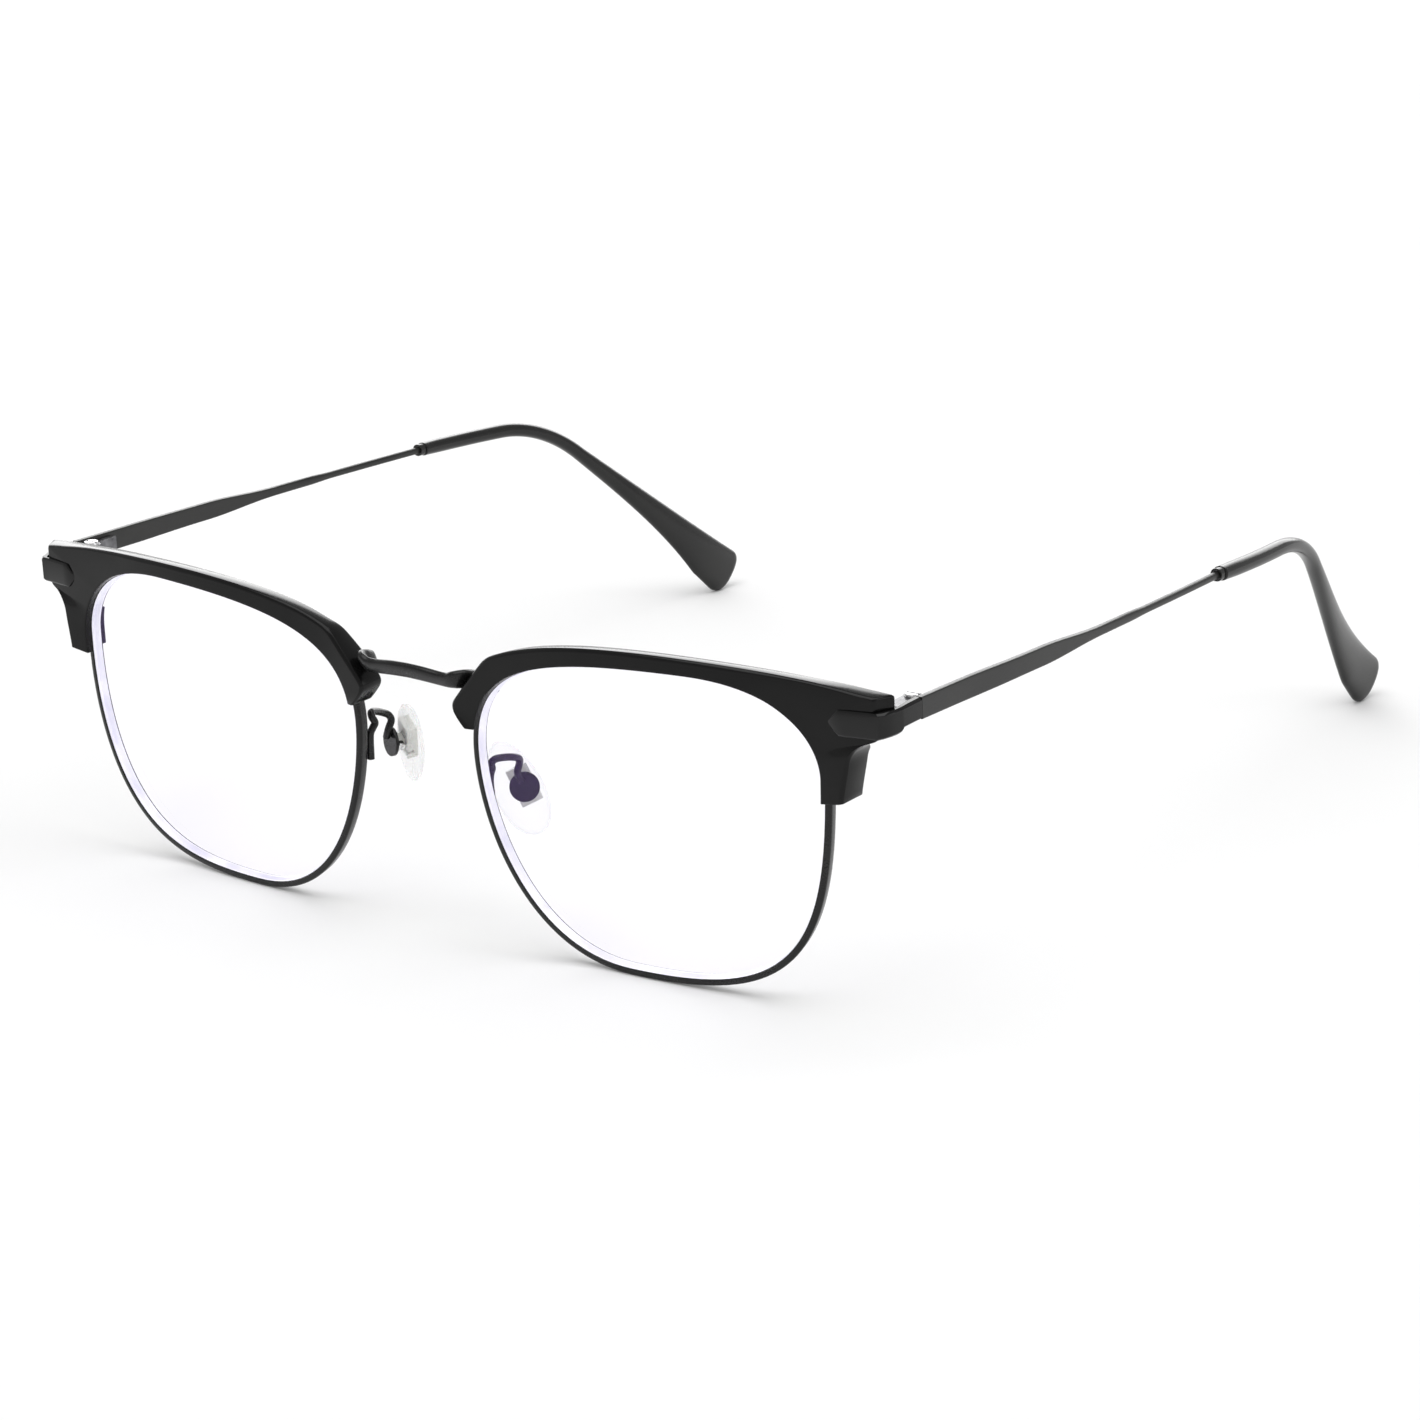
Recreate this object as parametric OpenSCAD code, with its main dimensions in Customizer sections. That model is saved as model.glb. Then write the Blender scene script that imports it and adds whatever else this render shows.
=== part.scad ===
// Half rim (browline) eyeglasses: two plastic brow bars over a thin metal eyewire frame.
// +X is the wearer's left, -Y is the front, +Z is up. The origin is the middle of the
// footprint, on the table that the rims and the ear tips rest on.

/* [Front] */
// Height of the table line below the lowest point of the lens opening
rim_drop = 1.05; // [1:0.05:1.4]
// Radius of the sphere that the lens fronts lie on
front_radius = 133; // [120:1:150]
// Distance from the middle plane to the foremost point of each lens
apex_x = 27; // [25:0.5:29]

/* [Rims and lenses] */
// Width of the eyewire seen from the front
rim_w = 0.9; // [0.8:0.05:1]
// Depth of the eyewire, front to back
rim_d = 1.7; // [1.6:0.05:1.8]
// Depth of the V groove that holds the lens
groove = 0.4; // [0.3:0.05:0.45]
// Free play between the lens bevel and the groove
lens_play = 0.04; // [0.02:0.01:0.06]

/* [Brow bars] */
// Thickness of the front lip that covers the eyewire
lip = 0.93; // [0.85:0.02:0.95]
// Depth of the bar over the lens
brow_d = 2.6; // [2.5:0.05:2.7]
// Depth of the nasal lobe
lobe_d = 4.1; // [3.6:0.1:4.2]
// Depth of the outer end
end_d = 2.65; // [2.5:0.05:2.7]
// Depth of the leg beside the lens
leg_d = 4.6; // [4.4:0.1:4.7]
// Outward slant of the outer end face, front to back
end_flare = 1.15; // [1:0.05:1.15]

/* [Hinges] */
// Radius of the hinge barrels
barrel_r = 1.3; // [1.25:0.01:1.32]
// Radius of the hinge screw shank
pin_r = 0.6; // [0.5:0.05:0.7]
// Running clearance around the screw shank
pin_play = 0.04; // [0.02:0.01:0.06]

/* [Temples] */
// Height of the blade at the hinge
blade_h = 2.85; // [2.7:0.05:2.9]
// Thickness of the blade
blade_t = 0.9; // [0.8:0.05:0.95]
// Radius of the round core wire inside the ear tip
core_r = 0.5; // [0.4:0.05:0.5]
// Bend of the ear tip below the temple line, in degrees
tip_bend = 40.4; // [36:0.2:44]
// How far the end of the ear tip tucks inwards
tip_tuck = 10.8; // [9:0.2:11.4]

/* [Nose pads] */
// Height of the wearer's left pad above the middle setting; its arm is bent by hand
pad_lift_left = -1.15; // [-1.5:0.05:1.5]
// Height of the wearer's right pad above the middle setting
pad_lift_right = 1.25; // [-1.5:0.05:1.5]
// How far the wearer's right pad is rocked on its screw, lower end to the rear
pad_rock_right = 14; // [0:1:20]
// How far the wearer's right pad and its box are turned about their long axis, rear edge outwards
pad_turn_right = 20; // [0:1:20]
// How much further up the eyewire the wearer's right pad arm is soldered
foot_lift_right = 0.75; // [0:0.05:1]
// Length of the silicone pad
pad_len = 13.4; // [12:0.2:14]
// Width of the silicone pad
pad_wid = 6.6; // [6:0.2:7.4]
// Thickness of the silicone pad
pad_thk = 2.3; // [2:0.1:2.6]
// Radius of the pad arm wire
arm_r = 0.5; // [0.4:0.05:0.55]

/* [Hidden] */
$fn = 48;
EPS = 0.01;
SOLDER = 0.02;

// Moves the working frame, whose y = 0 is near the lens fronts, to the middle of the footprint
y_shift = -72.21;
z_shift = -0.2;

// Lens opening: outermost, top, nasal and bottom points, with the share of each quadrant's
// width or height that its two curve handles take
lens_pts = [[62.7, 31.6], [44.4, 42.7], [10.5, 27.6], [32.4, rim_drop]];
lens_handles = [[0.30, 0.84], [0.75, 0.68], [0.30, 0.78], [0.58, 0.95]];
quad_steps = 16;
apex_z = 27.65;
apex_y = -2.7;

groove_y = rim_d / 2;
groove_half = 0.42;
rebate = rim_w + 0.06;

// Hinge
hinge_x = 70.1;
hinge_y = 10.9;
hinge_lo = 38.3;
hinge_hi = 40.85;
knuckle_h = 0.82;
hinge_gap = 0.02;
temple_front = 9.58;
plate_back = 9.53;
temple_in = 71.5;

// Temple and ear tip
temple_apex_y = 35;
temple_apex_x = 72.2;
temple_bow = 0.00058;
tip_y = 82;
tip_z = 37.4;
tip_slope = 3.8;
tip_straight = 18.5;
tip_radius = 25;
tip_len = 76;
core_len = 17;

// Nose pad frame: origin on the box, w across, v up the pad, n towards the nose
pad_org = [11.5, 5.98, 21.47];
pad_n = unit([-0.643, 0.735, -0.215]);
pad_w = unit(cross([-0.417, -0.102, 0.905], pad_n));
pad_v = cross(pad_n, pad_w);
pad_pin_n = 1;
pad_pin_r = 0.35;
pad_side = 0.9;
box_r = 2;

// Screws that hold the brow bars: distance from the middle plane and height
brow_screw_at = [[18.6, 41.0], [57.8, 41.95]];
brow_screw_r = 0.45;

// ---------- helpers ----------

function unit(v) = v / norm(v);
function clamp01(t) = max(0, min(1, t));
function mix(a, b, t) = a + (b - a) * t;
function ease(t) = (1 - cos(180 * clamp01(t))) / 2;
function flat(lists) = [for (l = lists) each l];

function bezier(a, b, c, d, t) =
    pow(1 - t, 3) * a + 3 * pow(1 - t, 2) * t * b + 3 * (1 - t) * t * t * c + pow(t, 3) * d;

// Point of a smooth curve through all the nodes, at node number i plus share t
function through(nodes, i, t) =
    let(last = len(nodes) - 1, a = nodes[i], d = nodes[i + 1])
    let(before = nodes[max(0, i - 1)], after = nodes[min(last, i + 2)])
    bezier(a, a + (d - before) / 6, d - (after - a) / 6, d, t);

function smooth_path(nodes, steps) = [
    for (i = [0 : len(nodes) - 2], s = [0 : steps - 1]) through(nodes, i, s / steps),
    nodes[len(nodes) - 1],
];

// Closed solid through rings of points that run clockwise when seen from the first ring
module skin(rings) {
    m = len(rings[0]);
    n = len(rings);
    ends = [centre(rings[0]), centre(rings[n - 1])];
    sides = [
        for (i = [0 : n - 2], j = [0 : m - 1])
            let(k = (j + 1) % m)
            each [
                [i * m + j, i * m + k, (i + 1) * m + k],
                [i * m + j, (i + 1) * m + k, (i + 1) * m + j],
            ],
    ];
    caps = [
        for (j = [0 : m - 1])
            let(k = (j + 1) % m)
            each [
                [n * m, k, j],
                [n * m + 1, (n - 1) * m + j, (n - 1) * m + k],
            ],
    ];
    polyhedron(points = concat(flat(rings), ends), faces = concat(sides, caps), convexity = 10);
}

function centre(ring) = [for (p = ring) 1] * ring / len(ring);

// Rounded cross-section: half width a and half height b, squarer as the power grows
function oval(a, b, power, m) = [
    for (j = [0 : m - 1])
        let(c = cos(360 * (j + 0.5) / m), s = sin(360 * (j + 0.5) / m))
        [a * sign(c) * pow(abs(c), 2 / power), b * sign(s) * pow(abs(s), 2 / power)],
];

// Ring of a section placed at a point, its first axis along side and its second along up
function placed(section, at, side, up) = [for (q = section) at + q.x * side + q.y * up];

// Rings of the sections swept along a path, one for each point, turned as little as possible
function swept(path, sections, start_up) =
    let(n = len(path))
    let(dirs = [for (i = [0 : n - 1]) unit(path[min(n - 1, i + 1)] - path[max(0, i - 1)])])
    let(ups = carried(dirs, start_up, 0, []))
    [for (i = [0 : n - 1]) placed(sections[i], path[i], cross(dirs[i], ups[i]), ups[i])];

function carried(dirs, up, i, done) =
    i == len(dirs) ? done
    : let(now = unit(up - (up * dirs[i]) * dirs[i])) carried(dirs, now, i + 1, concat(done, [now]));

// Puts a piece drawn for the wearer's left in its place, on either side
module on_left(lift = 0) translate([0, y_shift, z_shift + lift]) children();
module on_right(lift = 0) translate([0, y_shift, z_shift + lift]) mirror([1, 0, 0]) children();

module aligned(at, a, b, c)
    multmatrix([
        [a.x, b.x, c.x, at.x],
        [a.y, b.y, c.y, at.y],
        [a.z, b.z, c.z, at.z],
        [0, 0, 0, 1],
    ])
    children();

// ---------- front surface and lens opening ----------

function front_y(x, z) =
    apex_y + (pow(x - apex_x, 2) + pow(z - apex_z, 2)) / (2 * front_radius);

// Point behind the front surface; tilt is the share of the surface's lean it follows in x and z
function on_front(p, depth, tilt = [1, 1]) = [
    p.x - tilt.x * depth * (p.x - apex_x) / front_radius,
    front_y(p.x, p.y) + depth,
    p.y - tilt.y * depth * (p.y - apex_z) / front_radius,
];

function opening(u) =
    let(w = u - floor(u), q = min(3, floor(4 * w)), t = 4 * w - q)
    let(a = lens_pts[q], d = lens_pts[(q + 1) % 4], h = lens_handles[q])
    q % 2 == 0
        ? bezier(a, [a.x, mix(a.y, d.y, h[0])], [mix(d.x, a.x, h[1]), d.y], d, t)
        : bezier(a, [mix(a.x, d.x, h[0]), a.y], [d.x, mix(d.y, a.y, h[1])], d, t);

function opening_out(u) =
    let(d = unit(opening(u + 0.004) - opening(u - 0.004))) [d.y, -d.x];

function beside_opening(u, r) = opening(u) + r * opening_out(u);

// Frame on the front surface, its third axis pointing to the rear
module on_surface(x, z, depth) {
    rear = unit([-(x - apex_x) / front_radius, 1, -(z - apex_z) / front_radius]);
    side = unit(cross([0, 0, 1], rear));
    aligned([x, front_y(x, z), z] + depth * rear, side, cross(rear, side), rear) children();
}

// ---------- eyewire and lens ----------

rim_section = [
    [0, groove_y + groove_half], [0, rim_d - 0.12], [0.12, rim_d],
    [rim_w - 0.28, rim_d], [rim_w, rim_d - 0.28], [rim_w, 0.28], [rim_w - 0.28, 0],
    [0.12, 0], [0, 0.12], [0, groove_y - groove_half], [groove, groove_y],
];

module rim() {
    steps = 4 * quad_steps;
    split = 0.0012;
    color("#1b1b1d") skin([
        for (i = [0 : steps])
            let(u = i == 0 ? split : i == steps ? 1 - split : i / steps)
            [for (q = rim_section) on_front(beside_opening(u, q.x), q.y)],
    ]);
}

module lens() {
    steps = 4 * quad_steps;
    middle = [36.6, 22];
    edge_f = groove_y - 0.66;
    edge_b = groove_y + 0.66;
    rows = concat(
        [for (s = [0.08, 0.5, 1]) [s, 0, edge_f]],
        [[1, 0, groove_y - groove_half], [1, groove, groove_y - EPS]],
        [[1, groove, groove_y + EPS], [1, 0, groove_y + groove_half]],
        [for (s = [1, 0.5, 0.08]) [s, 0, edge_b]]
    );
    color("#dfe3ec", 0.3) skin([
        for (row = rows) [
            for (i = [0 : steps - 1])
                let(p = beside_opening(i / steps, row[1] - lens_play))
                on_front(mix(middle, p, row[0]), row[2]),
        ],
    ]);
}

// ---------- brow bar ----------

// Outer edge of the brow bar, as curve pieces from the leg round to the nasal lobe:
// four curve points, the shares of the lens opening they face, the number of steps, and how
// far the facing share runs ahead half way
brow_edge = [
    [[65.95, 29.1], [66.2, 31.0], [66.6, 32.6], [66.8, 34.2], -0.009, 0.035, 4],
    [[66.8, 34.2], [67.1, 35.9], [68.3, 36.75], [69.6, 37.1], 0.035, 0.07, 6],
    [[69.6, 37.1], [70.1, 37.2], [70.3, 37.5], [70.35, 38.0], 0.07, 0.08, 2],
    [[70.35, 38.0], [70.35, 39.5], [70.35, 41.0], [70.35, 42.45], 0.08, 0.115, 4],
    [[70.35, 42.45], [70.35, 42.75], [70.2, 42.85], [69.8, 42.9], 0.115, 0.125, 2],
    [[69.8, 42.9], [50.0, 45.45], [26.0, 45.95], [14.3, 40.95], 0.125, 0.39, 26, 0.012],
    [[14.3, 40.95], [13.6, 40.65], [13.0, 40.2], [12.4, 39.5], 0.39, 0.405, 3],
    [[12.4, 39.5], [11.1, 38.0], [9.4, 36.0], [8.2, 34.6], 0.405, 0.452, 4],
    [[8.2, 34.6], [7.5, 33.8], [7.45, 33.3], [7.9, 32.6], 0.452, 0.466, 3],
    [[7.9, 32.6], [8.4, 31.9], [8.8, 31.4], [9.4, 30.8], 0.466, 0.474, 3],
];

brow_stations = flat([
    for (k = [0 : len(brow_edge) - 1])
        let(e = brow_edge[k], n = e[6], more = k == len(brow_edge) - 1 ? 0 : 1)
        let(ahead = len(e) > 7 ? e[7] : 0)
        [
            for (i = [0 : n - more])
                let(t = i / n, share = mix(e[4], e[5], t) + ahead * sin(180 * t))
                [bezier(e[0], e[1], e[2], e[3], t), share],
        ],
]);

// Depth of the bar at a point of its outer edge: nasal lobe, bar, outer end, then leg
function brow_depth(p) =
    p.x < 40 ? mix(lobe_d, brow_d, ease((p.x - 9) / 7))
    : p.y > 36.6 ? mix(brow_d, end_d, ease((p.x - 60) / 5))
    : mix(leg_d, end_d, ease((p.y - 35.1) / 1.5));

// How far the outer edge stands in front of the lens curve, at both ends of the bar
function brow_forward(x) =
    1.7 * pow(clamp01((x - 54) / 16.3), 1.6) + pow(clamp01((20 - x) / 12.3), 1.3);

function brow_ring(station) =
    let(b = station[0], a = opening(station[1]), h = norm(b - a), e = (b - a) / h)
    let(r = rebate / max(0.6, e * opening_out(station[1])), end = clamp01((b.x - 66.9) / 3.4))
    let(forward = (brow_forward(b.x) - 0.09 * end * max(0, 42.8 - b.y)) / h, d = brow_depth(b))
    let(flare = end_flare * end, lift = b.y < 38.3 ? 0.9 * end * clamp01((38.3 - b.y) / 0.8) : 0)
    let(tilt = [0, clamp01((67 - b.x) / 6) * clamp01((b.y - 34) / 2)])
    [
        for (q = [
            [0, 0.12, 0], [0, lip - SOLDER, 0], [r, lip - SOLDER, 0], [r, d, 0],
            [h - 0.3, d, 1], [h, d - 0.3, 1], [h, 0.35, 0], [h - 0.35, 0, 0], [0.12, 0, 0],
        ])
            on_front(a + q.x * e, q.y - lip - forward * q.x, tilt) + q.z * [flare, 0, lift],
    ];

module brow_bar() {
    color("#111111") difference() {
        skin([for (station = brow_stations) brow_ring(station)]);
        // Passage for the bridge end, behind the front skin
        translate([6, -1.85, 34]) cube([7.6, 6, 3.1]);
        // Pocket in the back of the leg for the eyewire lock, and the bracket's way out of it
        translate([63.4, 2.75, 29.1]) cube([2.05, 4, 5.1]);
        translate([64.45, 4.55, 31.5]) cube([1.3, 3, 6.5]);
        for (at = brow_screw_at)
            on_surface(at.x, at.y, 0.1) cylinder(r = brow_screw_r + SOLDER, h = 4);
    }
}

// Small soldered plates on the eyewire that the brow screws pass through
module brow_lugs() {
    lug_foot = 1.25;
    back = brow_d - lip + 0.1;
    color("#1b1b1d")
        for (at = brow_screw_at)
            on_surface(at.x, at.y, back) difference() {
                union() {
                    cylinder(r = 0.85, h = 0.5);
                    translate([-0.6, -lug_foot, 0]) cube([1.2, lug_foot, 0.5]);
                }
                translate([0, 0, -1]) cylinder(r = brow_screw_r + SOLDER, h = 3);
            }
}

module brow_screws() {
    back = brow_d - lip + 0.6 + SOLDER;
    color("#55565a")
        for (at = brow_screw_at)
            on_surface(at.x, at.y, back) difference() {
                union() {
                    translate([0, 0, -1.9]) cylinder(r = brow_screw_r, h = 2);
                    cylinder(r1 = 0.75, r2 = 0.6, h = 0.4);
                }
                translate([-1, -0.1, 0.2]) cube([2, 0.2, 1]);
            }
}

// ---------- eyewire lock ----------

lock_x = 64.4;
lock_y = 3.75;

module rim_lock() {
    color("#1b1b1d")
        for (lo = [29.55, 31.68])
            difference() {
                translate([63.5, 2.9, lo]) cube([1.8, 1.7, 1.97]);
                translate([lock_x, lock_y, lo - 1]) cylinder(r = 0.4 + SOLDER, h = 4);
            }
}

module lock_screw() {
    color("#55565a") translate([lock_x, lock_y, 0]) difference() {
        union() {
            translate([0, 0, 29.5]) cylinder(r = 0.4, h = 4);
            translate([0, 0, 29.15]) cylinder(r = 0.65, h = 0.38);
        }
        translate([-1, -0.1, 28.5]) cube([2, 0.2, 0.8]);
    }
}

// ---------- end piece and hinge ----------

// Bracket behind the brow bar, from the eyewire lock to the corner plate
module end_bracket() {
    color("#1b1b1d") {
        translate([64.6, 4.62, 32]) cube([1, 0.85, 8.8]);
        translate([64.6, 5.46, 38.6]) cube([6.73, 0.9, 2.2]);
    }
}

// Stations of the corner plate on the brow bar's front, from the arrow's point outwards:
// distance from the middle plane, height above the bar, lowest and highest z
plate_stations = [
    [64.0, 0.02, 39.25, 39.4],
    [64.75, 0.32, 38.45, 40.25],
    [65.5, 0.4, 37.7, 41.0],
    [66.4, 0.45, 37.68, 41.05],
    [69.6, 0.45, 37.68, 41.1],
];

// Stations on the outer side: outer point, inner point, lowest and highest z
plate_sides = [
    [[71.0, 2.05], [70.3, 2.35], 37.75, 41.12],
    [[71.6, 2.75], [70.75, 2.95], 37.85, 41.15],
    [[72.0, 3.9], [71.22, 3.9], 37.92, 41.2],
    [[72.15, 4.7], [71.56, 4.7], 37.98, 41.24],
    [[72.27, 5.3], [71.56, 5.3], 38.05, 41.27],
    [[72.32, 5.6], [71.56, 5.6], 38.25, 41.28],
    [[72.33, 5.75], [71.56, 5.75], 38.5, 41.29],
    [[72.4, 7.2], [71.4, 7.2], 38.54, 41.33],
    [[72.4, plate_back], [71.42, plate_back], 38.55, 41.36],
];

function plate_base(x) = 1.48 + 0.165 * (x - 64);

function plate_front(s) =
    [for (z = [s[2], s[3]])
        [[s[0], plate_base(s[0]) - s[1]], [s[0], plate_base(s[0])], z]];

function plate_side(p) = [for (z = [p[2], p[3]]) [p[0], p[1], z]];

function plate_ring(ends) =
    let(lo = ends[0], hi = ends[1], c = min(0.3, (hi[2] - lo[2]) / 3))
    [
        [lo[1].x, lo[1].y, lo[2]],
        [mix(lo[0].x, lo[1].x, 0.4), mix(lo[0].y, lo[1].y, 0.4), lo[2]],
        [lo[0].x, lo[0].y, lo[2] + c],
        [hi[0].x, hi[0].y, hi[2] - c],
        [mix(hi[0].x, hi[1].x, 0.4), mix(hi[0].y, hi[1].y, 0.4), hi[2]],
        [hi[1].x, hi[1].y, hi[2]],
    ];

module corner_plate() {
    color("#17181a")
        skin(concat([for (s = plate_stations) plate_ring(plate_front(s))],
                    [for (p = plate_sides) plate_ring(plate_side(p))]));
}

module knuckle(lo, hi, play) {
    difference() {
        translate([hinge_x, hinge_y, lo]) cylinder(r = barrel_r, h = hi - lo);
        translate([hinge_x, hinge_y, lo - 1]) cylinder(r = pin_r + play, h = hi - lo + 2);
    }
}

module leaf_slab(x0, x1, y0, y1, z0, z1) {
    difference() {
        translate([x0, y0, z0]) cube([x1 - x0, y1 - y0, z1 - z0]);
        translate([hinge_x, hinge_y, z0 - 1]) cylinder(r = barrel_r - 0.2, h = z1 - z0 + 2);
    }
}

// Leaf with the outer two barrels, fixed to the corner plate
module hinge_front() {
    tops = [[hinge_lo, hinge_lo + knuckle_h], [hinge_hi - knuckle_h, hinge_hi]];
    color("#2a2b2e") {
        translate([68.95, 6.38, hinge_lo]) cube([2.4, 2.99, hinge_hi - hinge_lo]);
        for (z = tops) {
            knuckle(z[0], z[1], SOLDER);
            leaf_slab(68.95, 71.35, 9.36, 10.4, z[0], z[1]);
        }
    }
}

// Leaf with the middle barrel, fixed to the inner face of the temple
module hinge_rear() {
    lo = hinge_lo + knuckle_h + hinge_gap;
    hi = hinge_hi - knuckle_h - hinge_gap;
    color("#2a2b2e") {
        knuckle(lo, hi, pin_play);
        leaf_slab(70.2, temple_in - SOLDER, 11.2, 13.0, lo, hi);
        translate([70.5, 12.99, 38.75]) cube([temple_in - SOLDER - 70.5, 3.2, 1.85]);
    }
}

module hinge_screw() {
    color("#9a9b9f") translate([hinge_x, hinge_y, 0]) difference() {
        union() {
            translate([0, 0, hinge_lo - 0.25]) cylinder(r = pin_r, h = hinge_hi - hinge_lo + 0.3);
            translate([0, 0, hinge_hi + SOLDER]) cylinder(r1 = 1.1, r2 = 0.95, h = 0.38);
        }
        translate([-2, -0.16, hinge_hi + 0.18]) cube([4, 0.32, 1]);
    }
}

// ---------- temple ----------

function temple_x(y) = temple_apex_x - temple_bow * pow(y - temple_apex_y, 2);
function temple_z(y) = 39.97 - 0.036 * (y - 10);

// Blade height: full at the hinge, then a taper and a small step down to the wire
function temple_h(y) =
    y < 36 ? mix(blade_h, 2.55, ease((y - 20) / 16))
    : y < 51 ? mix(2.55, 1.3, ease((y - 36) / 15))
    : mix(1.3, 1, ease((y - 58) / 5));

function temple_t(y) = mix(blade_t, 1, ease((y - 45) / 15));

temple_rows = [temple_front, 11, 14, 18, 22, 26, 30, 34, 37, 40, 43, 46, 49, 52, 55, 58, 60, 62,
    65, 69, 73, 77, 80, tip_y];

module temple() {
    // The inner face is straight beside the hinge, so that its leaf lies flat on it
    color("#1c1c1e") {
        skin([
            for (y = temple_rows)
                let(t = temple_t(y), x = y < 18 ? temple_in + t / 2 : temple_x(y))
                let(px = mix(temple_in + t / 2, x, ease((y - 16) / 14)))
                placed(oval(t / 2, temple_h(y) / 2, mix(9, 2.6, ease((y - 36) / 24)), 12),
                       [px, y, temple_z(y)], [1, 0, 0], [0, 0, 1]),
        ]);
        core_dir = [tip_point(core_len).x - tip_point(0).x, core_len * cos(tip_slope),
            -core_len * sin(tip_slope)];
        along([temple_x(tip_y), tip_y - 0.2, temple_z(tip_y)], core_dir)
            cylinder(r = core_r, h = core_len);
    }
}

// Turns +Z to a direction, at a point
module along(at, dir) {
    c = unit(dir);
    a = unit(cross([0, 0, 1], c));
    aligned(at, a, cross(c, a), c) children();
}

// ---------- ear tip ----------

// Tip centre line in the side view: straight, round bend, straight; then the inward tuck
bend_len = tip_radius * tip_bend * PI / 180;

function tip_side(s) =
    let(s1 = min(s, tip_straight), s2 = max(0, min(s - tip_straight, bend_len)))
    let(s3 = max(0, s - tip_straight - bend_len), a = tip_slope + tip_bend * s2 / bend_len)
    [
        s1 * cos(tip_slope) + tip_radius * (sin(a) - sin(tip_slope)) + s3 * cos(a),
        -s1 * sin(tip_slope) - tip_radius * (cos(tip_slope) - cos(a)) - s3 * sin(a),
    ];

function tip_point(s) =
    let(p = tip_side(s))
    [temple_x(tip_y) - tip_tuck * ease(pow(max(0, s) / tip_len, 1.15)), tip_y + p.x, tip_z + p.y];

// Reach above and below the centre line: ferrule, sleeve, then the paddle
function tip_reach(s, values) =
    s < 1.2 ? 0.9
    : s < 5 ? mix(1.0, values[0], ease((s - 1.2) / 3.8))
    : let(t = clamp01((s - 36) / (tip_len - 36)))
      bezier(values[0], values[1], values[2], values[3], t);

function tip_above(s) = tip_reach(s, [1.05, 2.05, 2.6, 5.0]) - corner_cut(s, 1.7);
function tip_below(s) = min(3.4, tip_reach(s, [1.05, 1.15, 1.6, 5.3])) - corner_cut(s, 3.1);
function tip_thick(s) = s < 1.2 ? 0.9 : mix(1.15, 1.1, ease((s - 40) / 24)) - corner_cut(s, 0.9);

// What a rounded corner of this radius takes off at a place near the end of the tip
function corner_cut(s, radius) =
    let(over = max(0, s - tip_len + radius)) radius - sqrt(max(0, radius * radius - over * over));

tip_rows = concat([0, 1.15, 1.25, 2.4, 5, 10, 15], [for (s = [18.5 : 3 : 36.5]) s],
    [for (s = [40 : 3 : 70]) s], [72, 73.5, 74.4, 75.1, 75.6, 75.9, tip_len]);

module ear_tip() {
    color("#141415") difference() {
        skin([
            for (s = tip_rows)
                let(p = tip_point(s), ahead = tip_point(s + 0.5) - tip_point(s - 0.5))
                let(dir = unit(ahead), side = unit(cross(dir, [1, 0, 0])))
                let(out = cross(side, dir), up = tip_above(s), low = tip_below(s))
                placed(oval(tip_thick(s), (up + low) / 2, 2.2, 14),
                       p - side * (up - low) / 2, out, -side),
        ]);
        core_dir = [tip_point(core_len).x - tip_point(0).x, core_len * cos(tip_slope),
            -core_len * sin(tip_slope)];
        along([temple_x(tip_y), tip_y, temple_z(tip_y)] - 0.5 * unit(core_dir), core_dir)
            cylinder(r = core_r + SOLDER, h = core_len + 0.5);
    }
}

// ---------- bridge ----------

// Half of the bridge centre line, from the middle plane out and round to the eyewire, with
// the half height of the bridge as the fourth value
bridge_half = [
    [0, -2.45, 36.95, 1.1], [2.6, -2.4, 36.85, 1.1], [5.2, -2.2, 36.6, 1.05],
    [6.7, -2.15, 36.55, 1.1], [7.7, -1.95, 36.7, 1.3], [8.45, -1.3, 36.75, 1.35],
    [8.7, -0.1, 36.6, 1.15], [9.1, 1.0, 36.2, 1.0], [10.3, 1.6, 35.75, 1.0],
    [11.7, 1.15, 35.6, 1.0], [13.0, 0.57, 35.6, 1.0],
];

module bridge() {
    half = smooth_path(bridge_half, 3);
    mirrored = [for (i = [len(half) - 1 : -1 : 1]) [-half[i].x, half[i].y, half[i].z, half[i][3]]];
    line = concat(mirrored, half);
    path = [for (p = line) [p.x, p.y, p.z]];
    color("#1b1b1d") translate([0, y_shift, z_shift])
        skin(swept(path, [for (p = line) oval(0.58, p[3], 3.2, 12)], [0, 0, 1]));
}

// ---------- nose pads ----------

// Centre line of the pad arm at the middle setting: foot on the eyewire, S bend, loop, box
arm_nodes = [
    [10.35, 0.7, 21.2], [10.2, 0.7, 23.3], [10.0, 1.1, 24.4], [9.95, 1.55, 25.1],
    [10.15, 1.25, 25.9], [10.5, 1.6, 26.45], [10.95, 2.9, 26.4], [11.3, 4.5, 26.0],
    [11.2, 5.6, 25.4], [10.95, 5.85, 24.6], [11.05, 5.28, 23.51], [11.63, 5.42, 22.25],
];

// Raising the foot on the eyewire also lengthens it downwards
module pad_arm(foot_lift) {
    path = smooth_path([
        for (i = [0 : len(arm_nodes) - 1])
            let(p = arm_nodes[i], rise = i == 0 ? -0.5 : 1 - ease(p.y / 5))
            [p.x, p.y, p.z + foot_lift * rise],
    ], 3);
    color("#1b1b1d")
        skin(swept(path, [for (p = path) oval(arm_r, arm_r, 2, 8)], [1, 0, 0]));
}

module pad_frame(turn) aligned(pad_org, pad_w, pad_v, pad_n) rotate([0, -turn, 0]) children();

// Turns the pad on its screw, lower end to the rear
module rocked(turn, rock)
    pad_frame(turn) translate([0, 0, pad_pin_n]) rotate([-rock, 0, 0])
        translate([0, 0, -pad_pin_n]) children();

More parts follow.
